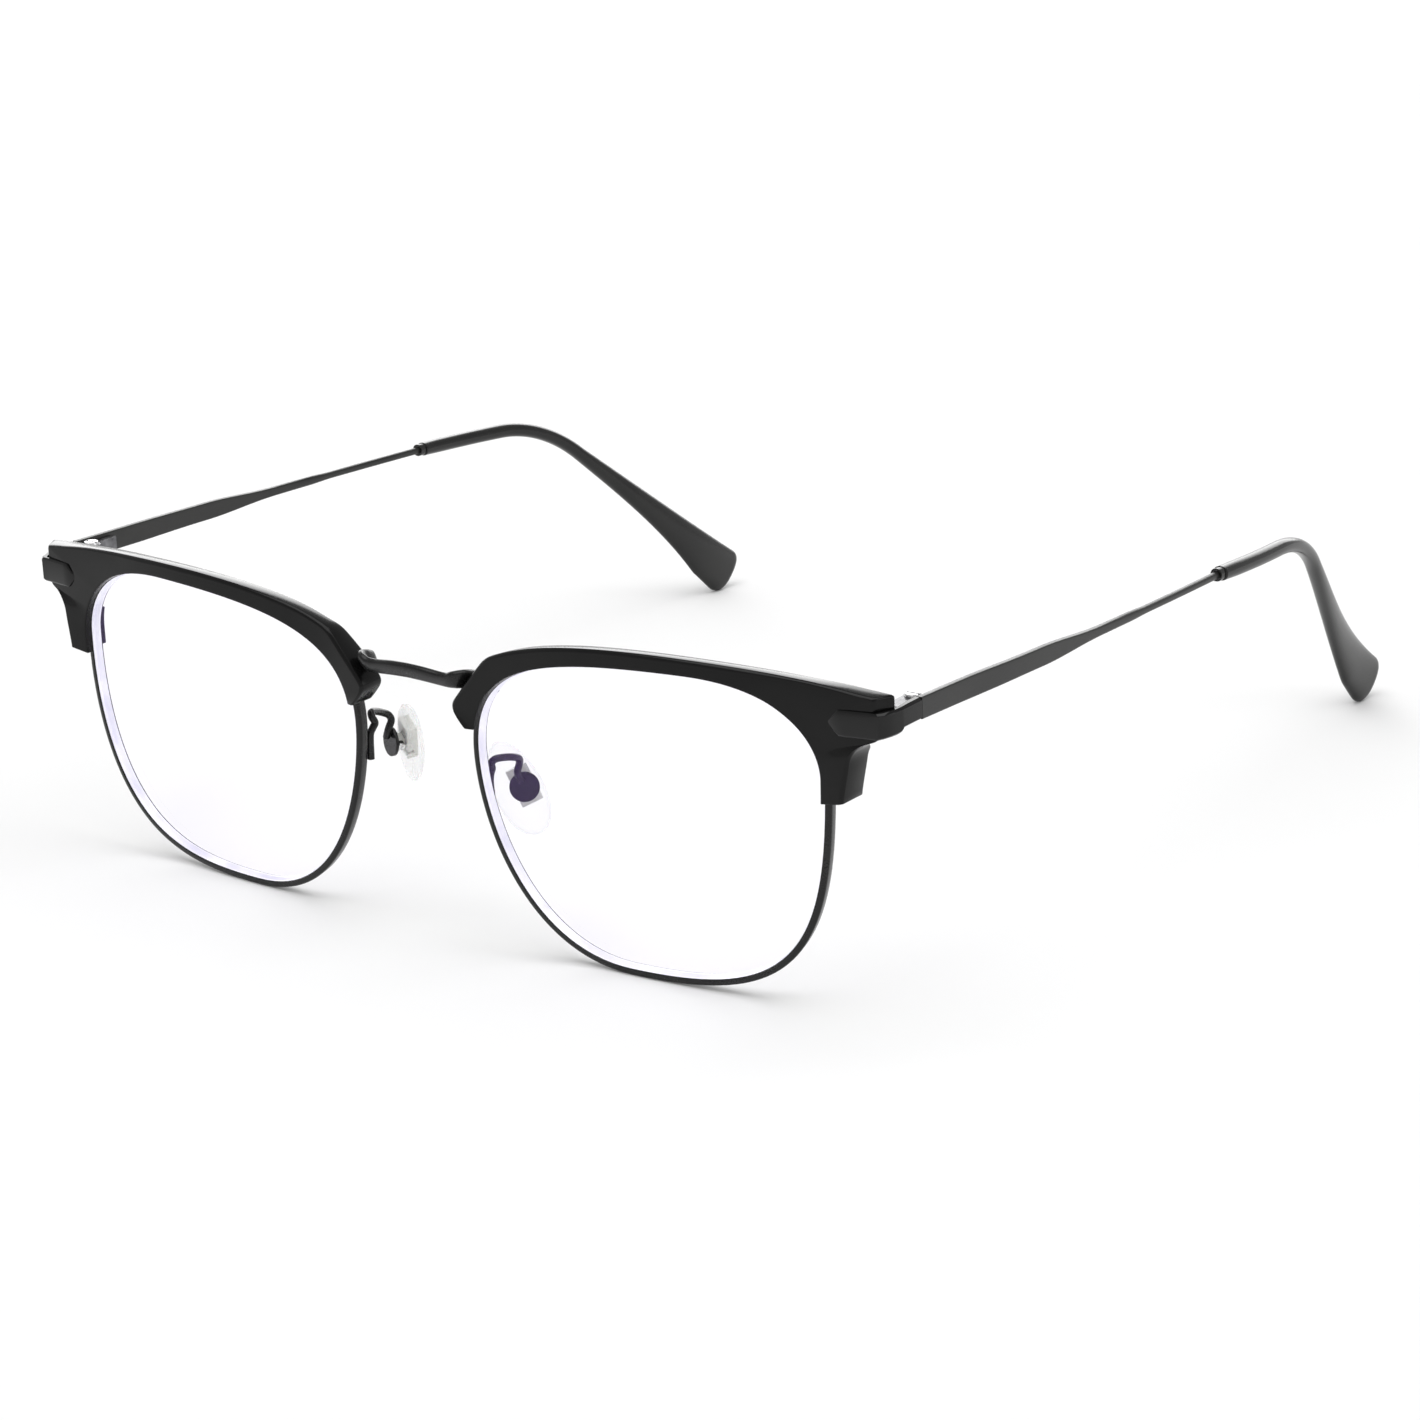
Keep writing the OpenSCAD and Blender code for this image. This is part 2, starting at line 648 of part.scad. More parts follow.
module across_pad(n, lo, hi, r) translate([lo, 0, n]) rotate([0, 90, 0]) cylinder(r = r, h = hi - lo);

// Round box with two ears for the pad screw
module pad_box(turn) {
    color("#1b1b1d") pad_frame(turn) difference() {
        union() {
            translate([0, 0, -0.1]) cylinder(r = box_r, h = 0.45);
            for (side = [-1, 1]) {
                translate([side * 0.95 - 0.2, -0.6, 0.3]) cube([0.4, 1.2, pad_pin_n - 0.3]);
                across_pad(pad_pin_n, side * 0.95 - 0.2, side * 0.95 + 0.2, 0.6);
            }
        }
        across_pad(pad_pin_n, -3, 3, pad_pin_r + SOLDER);
    }
}

// Stud that turns on the pad screw, and the plate that the silicone is moulded on
module pad_core(turn, rock) {
    color("#d9d9d6") rocked(turn, rock) difference() {
        union() {
            across_pad(pad_pin_n, -0.7, 0.7, 0.6);
            translate([-0.7, -0.6, pad_pin_n]) cube([1.4, 1.2, 1]);
            translate([-1.5, -2.6, pad_pin_n + 0.85]) cube([3, 5.2, 1.5]);
        }
        across_pad(pad_pin_n, -3, 3, pad_pin_r + pin_play);
        // Slot across the lower half of the core
        translate([-2, -1.7, pad_pin_n + 0.8]) cube([4, 0.4, 1]);
    }
}

module pad_screw(turn) {
    color("#c8c8c8") pad_frame(turn) difference() {
        union() {
            across_pad(pad_pin_n, -1.3, 1.2, pad_pin_r);
            across_pad(pad_pin_n, 1.15 + SOLDER, 1.5, 0.55);
        }
        translate([1.35, -1, pad_pin_n - 0.08]) cube([1, 2, 0.16]);
    }
}

// Clear silicone pad: flat back with a pocket for the core plate, domed front
module nose_pad(turn, rock) {
    base = pad_pin_n + 0.8;
    // Share of the full outline and height of each ring
    rows = [[0.82, 0], [0.95, 0.15], [1, 0.55], [0.96, 1.05], [0.82, 1.6], [0.55, 2.05], [0.2, 2.28]];
    color("#eef0f0", 0.5) rocked(turn, rock) difference() {
        skin([
            for (row = rows) [
                for (j = [27 : -1 : 0])
                    let(a = 360 * j / 28, narrow = 1 - 0.12 * sin(a))
                    [pad_side + row[0] * narrow * pad_wid / 2 * cos(a), row[0] * pad_len / 2 * sin(a),
                        base + row[1] * pad_thk / 2.3],
            ],
        ]);
        translate([-1.52, -2.62, base - 1]) cube([3.04, 5.24, 2.58]);
    }
}

// ---------- assembly ----------

bridge();
on_left() brow_bar();  // brow_bar_left
on_right() brow_bar();  // brow_bar_right
on_left() rim();  // rim_left
on_right() rim();  // rim_right
on_left() lens();  // lens_left
on_right() lens();  // lens_right
on_left() rim_lock();  // rim_lock_left
on_right() rim_lock();  // rim_lock_right
on_left() lock_screw();  // lock_screw_left
on_right() lock_screw();  // lock_screw_right
on_left() brow_lugs();  // brow_lugs_left
on_right() brow_lugs();  // brow_lugs_right
on_left() brow_screws();  // brow_screws_left
on_right() brow_screws();  // brow_screws_right
on_left() end_bracket();  // end_bracket_left
on_right() end_bracket();  // end_bracket_right
on_left() corner_plate();  // corner_plate_left
on_right() corner_plate();  // corner_plate_right
on_left() hinge_front();  // hinge_front_left
on_right() hinge_front();  // hinge_front_right
on_left() hinge_rear();  // hinge_rear_left
on_right() hinge_rear();  // hinge_rear_right
on_left() hinge_screw();  // hinge_screw_left
on_right() hinge_screw();  // hinge_screw_right
on_left() temple();  // temple_left
on_right() temple();  // temple_right
on_left() ear_tip();  // ear_tip_left
on_right() ear_tip();  // ear_tip_right
on_left(pad_lift_left) pad_arm(0);  // pad_arm_left
on_right(pad_lift_right) pad_arm(foot_lift_right);  // pad_arm_right
on_left(pad_lift_left) pad_box(0);  // pad_box_left
on_right(pad_lift_right) pad_box(pad_turn_right);  // pad_box_right
on_left(pad_lift_left) pad_core(0, 0);  // pad_core_left
on_right(pad_lift_right) pad_core(pad_turn_right, pad_rock_right);  // pad_core_right
on_left(pad_lift_left) pad_screw(0);  // pad_screw_left
on_right(pad_lift_right) pad_screw(pad_turn_right);  // pad_screw_right
on_left(pad_lift_left) nose_pad(0, 0);  // nose_pad_left
on_right(pad_lift_right) nose_pad(pad_turn_right, pad_rock_right);  // nose_pad_right
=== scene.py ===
import math

import bpy
from mathutils import Matrix, Vector


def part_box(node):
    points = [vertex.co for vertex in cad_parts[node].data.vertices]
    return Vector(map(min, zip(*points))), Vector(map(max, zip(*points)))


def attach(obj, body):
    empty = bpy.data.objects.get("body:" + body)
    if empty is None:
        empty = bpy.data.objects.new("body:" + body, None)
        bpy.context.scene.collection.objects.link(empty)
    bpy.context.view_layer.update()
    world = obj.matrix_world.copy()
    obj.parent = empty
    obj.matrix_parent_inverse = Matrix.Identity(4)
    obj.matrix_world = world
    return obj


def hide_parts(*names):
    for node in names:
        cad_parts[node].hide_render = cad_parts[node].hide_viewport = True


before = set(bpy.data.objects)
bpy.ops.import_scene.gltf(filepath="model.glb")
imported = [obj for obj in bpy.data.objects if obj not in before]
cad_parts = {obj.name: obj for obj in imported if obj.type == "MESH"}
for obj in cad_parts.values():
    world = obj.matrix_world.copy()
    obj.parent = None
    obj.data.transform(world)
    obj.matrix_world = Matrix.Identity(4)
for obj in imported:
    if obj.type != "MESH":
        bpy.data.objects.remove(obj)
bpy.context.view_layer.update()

MM = 0.001
SIDES = {"left": 1, "right": -1}

# The CAD part is drawn around a working origin near the lens fronts. The hinge screw says where
# that origin went: these are its axis and its lower end in working millimetres.
SCREW_Y, SCREW_FOOT_Z = 10.9, 38.05
screw_lo, screw_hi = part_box("hinge_screw_left")
ORIGIN = Vector((0, (screw_lo.y + screw_hi.y) / 2 - SCREW_Y * MM, screw_lo.z - SCREW_FOOT_Z * MM))


# ---------- small maths ----------

def clamp01(t):
    return max(0.0, min(1.0, t))


def mix(a, b, t):
    return a + (b - a) * t


def ease(t):
    return (1 - math.cos(math.pi * clamp01(t))) / 2


def bezier(a, b, c, d, t):
    u = 1 - t
    return a * (u ** 3) + b * (3 * u * u * t) + c * (3 * u * t * t) + d * (t ** 3)


def smooth_path(points, steps):
    """A smooth curve through all the points, given as tuples of any length."""
    pts = [Vector(p) for p in points]
    last = len(pts) - 1
    out = []
    for i in range(last):
        a, d = pts[i], pts[i + 1]
        before, after = pts[max(0, i - 1)], pts[min(last, i + 2)]
        for s in range(steps):
            out.append(bezier(a, a + (d - before) / 6, d - (after - a) / 6, d, s / steps))
    return out + [pts[last]]


def oval(a, b, power, count):
    """Rounded cross-section, squarer as the power grows."""
    def squared(v):
        return math.copysign(abs(v) ** (2 / power), v)

    angles = [2 * math.pi * (j + 0.5) / count for j in range(count)]
    return [(squared(math.cos(angle)) * a, squared(math.sin(angle)) * b) for angle in angles]


def arc(cx, cy, r, start, end, count):
    """Points of an arc, angles in degrees."""
    angles = [math.radians(mix(start, end, i / (count - 1))) for i in range(count)]
    return [(cx + r * math.cos(angle), cy + r * math.sin(angle)) for angle in angles]


def placed(section, at, side, up):
    return [at + side * q[0] + up * q[1] for q in section]


def swept(path, sections, start_up):
    """Rings of the sections along a path, turned as little as possible."""
    rings, up = [], Vector(start_up)
    for i, at in enumerate(path):
        along = (path[min(len(path) - 1, i + 1)] - path[max(0, i - 1)]).normalized()
        up = (up - along * up.dot(along)).normalized()
        rings.append(placed(sections[i], at, up.cross(along), up))
    return rings


# ---------- meshes ----------

def new_object(name, verts, faces, side, sharp):
    """A mesh object from working millimetres; side -1 mirrors it to the wearer's right."""
    points = [((v[0] * side) * MM + ORIGIN.x, v[1] * MM + ORIGIN.y, v[2] * MM + ORIGIN.z) for v in verts]
    if side < 0:
        faces = [tuple(reversed(f)) for f in faces]
    mesh = bpy.data.meshes.new(name)
    mesh.from_pydata(points, [], faces)
    mesh.validate()
    mesh.shade_smooth()
    mesh.set_sharp_from_angle(angle=math.radians(sharp))
    obj = bpy.data.objects.new(name, mesh)
    bpy.context.scene.collection.objects.link(obj)
    return obj


def skin(rings, closed=False):
    """Vertices and faces of a skin over rings of equal length, with caps unless the rings close up."""
    m, n = len(rings[0]), len(rings)
    verts = [p for ring in rings for p in ring]
    faces = []
    for i in range(n if closed else n - 1):
        for j in range(m):
            k, i2 = (j + 1) % m, (i + 1) % n
            faces.append((i * m + j, i * m + k, i2 * m + k, i2 * m + j))
    if not closed:
        faces.append(tuple(reversed(range(m))))
        faces.append(tuple(range((n - 1) * m, n * m)))
    return verts, outward(verts, faces)


def outward(verts, faces):
    """Turns all the faces over when the closed skin is inside out."""
    volume = 0.0
    for f in faces:
        a = Vector(verts[f[0]])
        for j in range(1, len(f) - 1):
            volume += a.dot(Vector(verts[f[j]]).cross(Vector(verts[f[j + 1]])))
    return faces if volume > 0 else [tuple(reversed(f)) for f in faces]


# ---------- front surface and lens opening ----------

RADIUS, APEX_X, APEX_Y, APEX_Z = 133.0, 27.0, -2.7, 27.65
OPENING = [Vector((62.7, 31.6)), Vector((44.4, 42.7)), Vector((10.5, 27.6)), Vector((32.4, 1.05))]
HANDLES = [(0.30, 0.84), (0.75, 0.68), (0.30, 0.78), (0.58, 0.95)]


def front_y(x, z):
    return APEX_Y + ((x - APEX_X) ** 2 + (z - APEX_Z) ** 2) / (2 * RADIUS)


def on_front(p, depth, tilt=(1, 1)):
    return Vector((p[0] - tilt[0] * depth * (p[0] - APEX_X) / RADIUS, front_y(p[0], p[1]) + depth,
                   p[1] - tilt[1] * depth * (p[1] - APEX_Z) / RADIUS))


def opening(u):
    w = u - math.floor(u)
    q = min(3, int(4 * w))
    a, d, h = OPENING[q], OPENING[(q + 1) % 4], HANDLES[q]
    if q % 2 == 0:
        b, c = Vector((a.x, mix(a.y, d.y, h[0]))), Vector((mix(d.x, a.x, h[1]), d.y))
    else:
        b, c = Vector((mix(a.x, d.x, h[0]), a.y)), Vector((d.x, mix(d.y, a.y, h[1])))
    return bezier(a, b, c, d, 4 * w - q)


def opening_out(u):
    d = (opening(u + 0.004) - opening(u - 0.004)).normalized()
    return Vector((d.y, -d.x))


def beside_opening(u, r):
    return opening(u) + opening_out(u) * r


# ---------- eyewire and lens ----------

RIM_W, RIM_D, GROOVE, GROOVE_HALF = 0.9, 1.7, 0.4, 0.42
LENS_HALF, LENS_PLAY = 0.66, 0.03
RIM_STEPS, LENS_STEPS, LENS_ROWS = 192, 128, 10
LENS_MIDDLE = Vector((36.6, 22.0))


def rim_mesh():
    g = RIM_D / 2
    section = [(0, g + GROOVE_HALF)] + arc(0.12, RIM_D - 0.12, 0.12, 180, 90, 3) \
        + arc(RIM_W - 0.3, RIM_D - 0.3, 0.3, 90, 0, 5) + arc(RIM_W - 0.3, 0.3, 0.3, 0, -90, 5) \
        + arc(0.12, 0.12, 0.12, -90, -180, 3) + [(0, g - GROOVE_HALF), (GROOVE, g)]
    rings = []
    for i in range(RIM_STEPS):
        rings.append([on_front(beside_opening(i / RIM_STEPS, q[0]), q[1]) for q in section])
    return skin(rings, closed=True)


def lens_mesh():
    """Curved pane with a bevelled edge; the first faces listed are the polished ones."""
    shares = [1 - (1 - k / LENS_ROWS) ** 1.6 for k in range(1, LENS_ROWS + 1)]
    g = RIM_D / 2
    rows = [(s, -LENS_PLAY, g - LENS_HALF) for s in shares]
    rows += [(1, -LENS_PLAY, g - GROOVE_HALF), (1, GROOVE - LENS_PLAY, g - 0.02)]
    rows += [(1, GROOVE - LENS_PLAY, g + 0.02), (1, -LENS_PLAY, g + GROOVE_HALF)]
    rows += [(s, -LENS_PLAY, g + LENS_HALF) for s in reversed(shares)]
    steps, verts = LENS_STEPS, []
    for share, offset, depth in rows:
        for i in range(steps):
            p = beside_opening(i / steps, offset)
            verts.append(on_front(LENS_MIDDLE.lerp(p, share), depth))
    verts += [on_front(LENS_MIDDLE, g - LENS_HALF), on_front(LENS_MIDDLE, g + LENS_HALF)]
    polished, edge = [], []
    edge_rows = range(LENS_ROWS - 1, len(rows) - LENS_ROWS)
    for r in range(len(rows) - 1):
        for i in range(steps):
            k = (i + 1) % steps
            quad = (r * steps + i, r * steps + k, (r + 1) * steps + k, (r + 1) * steps + i)
            (edge if r in edge_rows else polished).append(quad)
    first, last = len(rows) * steps, (len(rows) - 1) * steps
    for i in range(steps):
        k = (i + 1) % steps
        polished.append((first, k, i))
        polished.append((first + 1, last + i, last + k))
    faces = outward(verts, polished + edge)
    return verts, faces, len(polished)


# ---------- brow bar ----------

LIP, REBATE = 0.93, 0.96
BROW_D, LOBE_D, END_D, LEG_D = 2.6, 4.1, 2.65, 4.6
END_X, END_SPAN, END_FLARE, END_LIFT = 66.9, 3.4, 1.15, 0.9
TOP_Z, UNDER_Z = 42.8, 38.3

# Outer edge of the brow bar: four curve points, the shares of the lens opening they face, steps,
# and how far the facing share runs ahead half way
BROW_EDGE = [
    ((65.95, 29.1), (66.2, 31.0), (66.6, 32.6), (66.8, 34.2), -0.009, 0.035, 8, 0),
    ((66.8, 34.2), (67.1, 35.9), (68.3, 36.75), (69.6, 37.1), 0.035, 0.07, 14, 0),
    ((69.6, 37.1), (70.1, 37.2), (70.3, 37.5), (70.35, 38.0), 0.07, 0.08, 6, 0),
    ((70.35, 38.0), (70.35, 39.5), (70.35, 41.0), (70.35, 42.45), 0.08, 0.115, 8, 0),
    ((70.35, 42.45), (70.35, 42.75), (70.2, 42.85), (69.8, 42.9), 0.115, 0.125, 5, 0),
    ((69.8, 42.9), (50.0, 45.45), (26.0, 45.95), (14.3, 40.95), 0.125, 0.39, 64, 0.012),
    ((14.3, 40.95), (13.6, 40.65), (13.0, 40.2), (12.4, 39.5), 0.39, 0.405, 8, 0),
    ((12.4, 39.5), (11.1, 38.0), (9.4, 36.0), (8.2, 34.6), 0.405, 0.452, 12, 0),
    ((8.2, 34.6), (7.5, 33.8), (7.45, 33.3), (7.9, 32.6), 0.452, 0.466, 8, 0),
    ((7.9, 32.6), (8.4, 31.9), (8.8, 31.4), (9.4, 30.8), 0.466, 0.474, 6, 0),
]


def brow_depth(x, z):
    """Front to back: deep at the nasal lobe and the leg, shallow along the bar."""
    if x < 40:
        return mix(LOBE_D, BROW_D, ease((x - 9) / 7))
    if z > 36.6:
        return mix(BROW_D, END_D, ease((x - 60) / 5))
    return mix(LEG_D, END_D, ease((z - 35.1) / 1.5))


def brow_forward(x):
    """How far the outer edge stands in front of the lens curve, at both ends of the bar."""
    return 1.7 * clamp01((x - 54) / 16.3) ** 1.6 + clamp01((20 - x) / 12.3) ** 1.3


def brow_ring(b, share):
    """Cross-section from the lens opening out to point b of the bar's outer edge."""
    a = opening(share)
    h = (b - a).length
    e = (b - a) / h
    r = REBATE / max(0.6, e.dot(opening_out(share)))
    end = ease((b.x - END_X) / END_SPAN)
    forward = (brow_forward(b.x) - 0.09 * end * max(0, TOP_Z - b.y)) / h
    d = brow_depth(b.x, b.y)
    flare = Vector((END_FLARE * end, 0, END_LIFT * end * clamp01((UNDER_Z - b.y) / 0.8)))
    tilt = (0, clamp01((67 - b.x) / 6) * clamp01((b.y - 34) / 2))
    # Along the ring, depth, and the share of the end's flare
    section = [(q[0], q[1], 0) for q in arc(0.12, 0.12, 0.12, 270, 180, 3)]
    section += [(0, LIP - 0.02, 0), (r, LIP - 0.02, 0), (r, d, 0)]
    section += [(q[0], q[1], 1) for q in arc(h - 0.3, d - 0.3, 0.3, 90, 0, 5)]
    section += [(h, 0.42, 0), (h - 0.035, 0.325, 0), (h - 0.325, 0.035, 0), (h - 0.42, 0, 0)]
    section += [(h - 0.6, 0, 0), (0.65 * h, 0, 0), (0.35 * h, 0, 0), (0.35, 0, 0)]
    return [on_front(a + e * q[0], q[1] - LIP - forward * q[0], tilt) + flare * q[2] for q in section]


def brow_mesh():
    rings = []
    for k, (a, b, c, d, first_share, last_share, steps, ahead) in enumerate(BROW_EDGE):
        p = [Vector(q) for q in (a, b, c, d)]
        for i in range(steps + (1 if k == len(BROW_EDGE) - 1 else 0)):
            t = i / steps
            share = mix(first_share, last_share, t) + ahead * math.sin(math.pi * t)
            rings.append(brow_ring(bezier(*p, t), share))
    head = [shrunk(rings[0], rings[1], *q) for q in ((0.93, 0.07), (0.985, 0.03))]
    tail = [shrunk(rings[-1], rings[-2], *q) for q in ((0.985, 0.03), (0.93, 0.07))]
    return skin(head + rings + tail)


def shrunk(ring, beyond, share, reach):
    """Ring of a rounded end: a little smaller and further out than the last full one."""
    centre = sum(ring, Vector()) / len(ring)
    step = (ring[0] - beyond[0]).normalized() * reach
    return [centre.lerp(p, share) + step for p in ring]


# ---------- corner plate ----------

# Front of the plate: x, how far it stands off the bar, lower and upper edge. Side of the plate:
# outer and inner point seen from above, lower and upper edge.
PLATE_X, PLATE_Y, PLATE_SLOPE, PLATE_CHAMFER = 64, 1.48, 0.165, 0.3
PLATE_STATIONS = [(64.0, 0.02, 39.25, 39.4), (64.75, 0.32, 38.45, 40.25), (65.5, 0.4, 37.7, 41.0),
                  (66.4, 0.45, 37.68, 41.05), (69.6, 0.45, 37.68, 41.1)]
PLATE_SIDES = [((71.0, 2.05), (70.3, 2.35), 37.75, 41.12), ((71.6, 2.75), (70.75, 2.95), 37.85, 41.15),
               ((72.0, 3.9), (71.22, 3.9), 37.92, 41.2), ((72.15, 4.7), (71.56, 4.7), 37.98, 41.24),
               ((72.27, 5.3), (71.56, 5.3), 38.05, 41.27), ((72.32, 5.6), (71.56, 5.6), 38.25, 41.28),
               ((72.33, 5.75), (71.56, 5.75), 38.5, 41.29), ((72.4, 7.2), (71.4, 7.2), 38.54, 41.33),
               ((72.4, 9.56), (71.42, 9.56), 38.55, 41.36)]


def plate_mesh():
    rings = []
    for x, rise, lo, hi in PLATE_STATIONS:
        base = PLATE_Y + PLATE_SLOPE * (x - PLATE_X)
        rings.append(plate_ring((x, base - rise), (x, base), lo, hi))
    for out, inner, lo, hi in PLATE_SIDES:
        rings.append(plate_ring(out, inner, lo, hi))
    return skin(rings)


def plate_ring(out, inner, lo, hi):
    c = min(PLATE_CHAMFER, (hi - lo) / 3)
    half = [(1, 0), (0.4, 0), (0.1, 0.6 * c), (0, c)]
    outline = [(share, lo + rise) for share, rise in half]
    outline += [(share, hi - rise) for share, rise in reversed(half)]
    return [Vector((mix(out[0], inner[0], share), mix(out[1], inner[1], share), z)) for share, z in outline]


# ---------- temple and ear tip ----------

TEMPLE_FRONT, TEMPLE_STEP = 9.6, 0.8
TEMPLE_IN, BLADE_T, BLADE_H, NECK_H, STEM_H = 71.5, 0.9, 2.85, 2.55, 1.3
TIP_Y, TIP_Z, TIP_SLOPE, TIP_BEND = 82.0, 37.4, 3.8, 40.4
TIP_STRAIGHT, TIP_RADIUS, TIP_LEN, TIP_TUCK = 18.5, 25.0, 76.0, 10.8


def temple_x(y):
    return 72.2 - 0.00058 * (y - 35) ** 2


def temple_z(y):
    return 39.97 - 0.036 * (y - 10)


def temple_mesh():
    rings, y = [], TEMPLE_FRONT
    while y < TIP_Y:
        rings.append(temple_ring(y))
        y += TEMPLE_STEP
    rings.append(temple_ring(TIP_Y))
    return skin(rings)


def temple_ring(y):
    if y < 36:
        height = mix(BLADE_H, NECK_H, ease((y - 20) / 16))
    elif y < 51:
        height = mix(NECK_H, STEM_H, ease((y - 36) / 15))
    else:
        height = mix(STEM_H, 1, ease((y - 58) / 5))
    thick = mix(BLADE_T, 1, ease((y - 45) / 15))
    x = TEMPLE_IN + thick / 2 if y < 18 else temple_x(y)
    x = mix(TEMPLE_IN + thick / 2, x, ease((y - 16) / 14))
    power = mix(9, 2.6, ease((y - 36) / 24))
    section = oval(thick / 2, height / 2, power, 28)
    return placed(section, Vector((x, y, temple_z(y))), Vector((1, 0, 0)), Vector((0, 0, 1)))


def tip_point(s):
    """Middle of the ear tip after a length s: straight, round the ear, straight again."""
    bend = math.radians(TIP_BEND)
    arc_len = TIP_RADIUS * bend
    s1 = min(s, TIP_STRAIGHT)
    s2 = max(0, min(s - TIP_STRAIGHT, arc_len))
    s3 = max(0, s - TIP_STRAIGHT - arc_len)
    a0 = math.radians(TIP_SLOPE)
    a = a0 + bend * s2 / arc_len
    y = s1 * math.cos(a0) + TIP_RADIUS * (math.sin(a) - math.sin(a0)) + s3 * math.cos(a)
    z = -s1 * math.sin(a0) - TIP_RADIUS * (math.cos(a0) - math.cos(a)) - s3 * math.sin(a)
    tuck = TIP_TUCK * ease((max(0, s) / TIP_LEN) ** 1.15)
    return Vector((temple_x(TIP_Y) - tuck, TIP_Y + y, TIP_Z + z))


def tip_reach(s, values):
    """Half height at a length s: a collar, a swelling, then a curve through the values."""
    if s < 1.2:
        return 0.9
    if s < 5:
        return mix(1.0, values[0], ease((s - 1.2) / 3.8))
    return bezier(*values, clamp01((s - 36) / (TIP_LEN - 36)))


def corner_cut(s, radius):
    """How much a corner of the radius takes off at a length s, near the end of the tip."""
    over = max(0, s - TIP_LEN + radius)
    return radius - math.sqrt(max(0, radius * radius - over * over))


def tip_ring(s, shrink=1.0):
    up = tip_reach(s, (1.05, 2.05, 2.6, 5.0)) - corner_cut(s, 1.7)
    low = min(3.4, tip_reach(s, (1.05, 1.15, 1.6, 5.3))) - corner_cut(s, 3.1)
    thick = 0.9 if s < 1.2 else mix(1.15, 1.1, ease((s - 40) / 24)) - corner_cut(s, 0.9)
    p, d = tip_point(s), (tip_point(s + 0.5) - tip_point(s - 0.5)).normalized()
    side = d.cross(Vector((1, 0, 0))).normalized()
    out = side.cross(d)
    section = oval(max(0.02, thick) * shrink, (up + low) / 2 * shrink, 2.2, 32)
    return placed(section, p - side * ((up - low) / 2), out, -side)


def tip_mesh():
    rows = [0.04, 1.12, 1.16, 1.24, 1.28, 1.8, 2.4, 3.2, 4, 5]
    s = 6.0
    while s < 72:
        rows.append(s)
        s += 1.0
    rows += [72, 72.7, 73.4, 73.9, 74.4, 74.8, 75.1, 75.4, 75.6, 75.78, 75.9, 75.97]
    rings = [tip_ring(0.0, 0.93)] + [tip_ring(s) for s in rows]
    return skin(rings)


# ---------- bridge and pad arms ----------

# Half of the bridge from its middle: position and half height of the wire
BRIDGE_HALF = [
    (0, -2.45, 36.95, 1.1), (2.6, -2.4, 36.85, 1.1), (5.2, -2.2, 36.6, 1.05), (6.7, -2.15, 36.55, 1.1),
    (7.7, -1.95, 36.7, 1.3), (8.45, -1.3, 36.75, 1.35), (8.7, -0.1, 36.6, 1.15), (9.1, 1.0, 36.2, 1.0),
    (10.3, 1.6, 35.75, 1.0), (11.2, 1.4, 35.65, 1.0), (11.95, 1.1, 35.6, 0.9),
]
# Middle line of a pad arm, from its foot on the eyewire to the disc
ARM_NODES = [
    (10.35, 0.7, 21.2), (10.2, 0.7, 23.3), (10.0, 1.1, 24.4), (9.95, 1.55, 25.1), (10.15, 1.25, 25.9),
    (10.5, 1.6, 26.45), (10.95, 2.9, 26.4), (11.3, 4.5, 26.0), (11.2, 5.6, 25.4), (10.95, 5.85, 24.6),
    (11.05, 5.28, 23.51), (11.63, 5.42, 22.25),
]
# How each side was adjusted by hand: millimetres up, degrees about the pad's two axes, and how far
# the arm is stretched above its foot
PADS = {
    "left": {"lift": -1.15, "turn": 0.0, "rock": 0.0, "foot": 0.0},
    "right": {"lift": 1.25, "turn": 20.0, "rock": 14.0, "foot": 0.75},
}
ARM_R, BRIDGE_R = 0.5, 0.58


def bridge_mesh():
    half = smooth_path(BRIDGE_HALF, 8)
    line = [Vector((-p[0], p[1], p[2], p[3])) for p in reversed(half[1:])] + half
    path = [Vector(p[:3]) for p in line]
    return skin(swept(path, [oval(BRIDGE_R, p[3], 3.2, 24) for p in line], (0, 0, 1)))


def arm_mesh(pad):
    nodes = []
    for i, p in enumerate(ARM_NODES):
        rise = -0.5 if i == 0 else 1 - ease(p[1] / 5)
        nodes.append((p[0], p[1], p[2] + pad["foot"] * rise + pad["lift"]))
    path = smooth_path(nodes, 7)
    return skin(swept(path, [oval(ARM_R, ARM_R, 2, 20)] * len(path), (1, 0, 0)))


# ---------- nose pads ----------

PAD_ORG = Vector((11.5, 5.98, 21.47))
PAD_N = Vector((-0.643, 0.735, -0.215)).normalized()
PAD_W = Vector((-0.417, -0.102, 0.905)).cross(PAD_N).normalized()
PAD_V = PAD_N.cross(PAD_W)
PAD_LEN, PAD_WID, PAD_BASE, PAD_SIDE, PAD_TAPER = 13.4, 6.6, 1.8, 0.9, 0.12
PAD_PIN, PAD_COUNT = 1, 56
# Share of the outline and height above the base, from the back of the pad to its front
PAD_ROWS = [
    (0.12, 0.0), (0.45, 0.0), (0.74, 0.0), (0.86, 0.04), (0.94, 0.16), (0.985, 0.34), (1.0, 0.58),
    (0.985, 0.82), (0.94, 1.1), (0.86, 1.4), (0.74, 1.7), (0.58, 1.95), (0.4, 2.13), (0.2, 2.25),
    (0.06, 2.28),
]


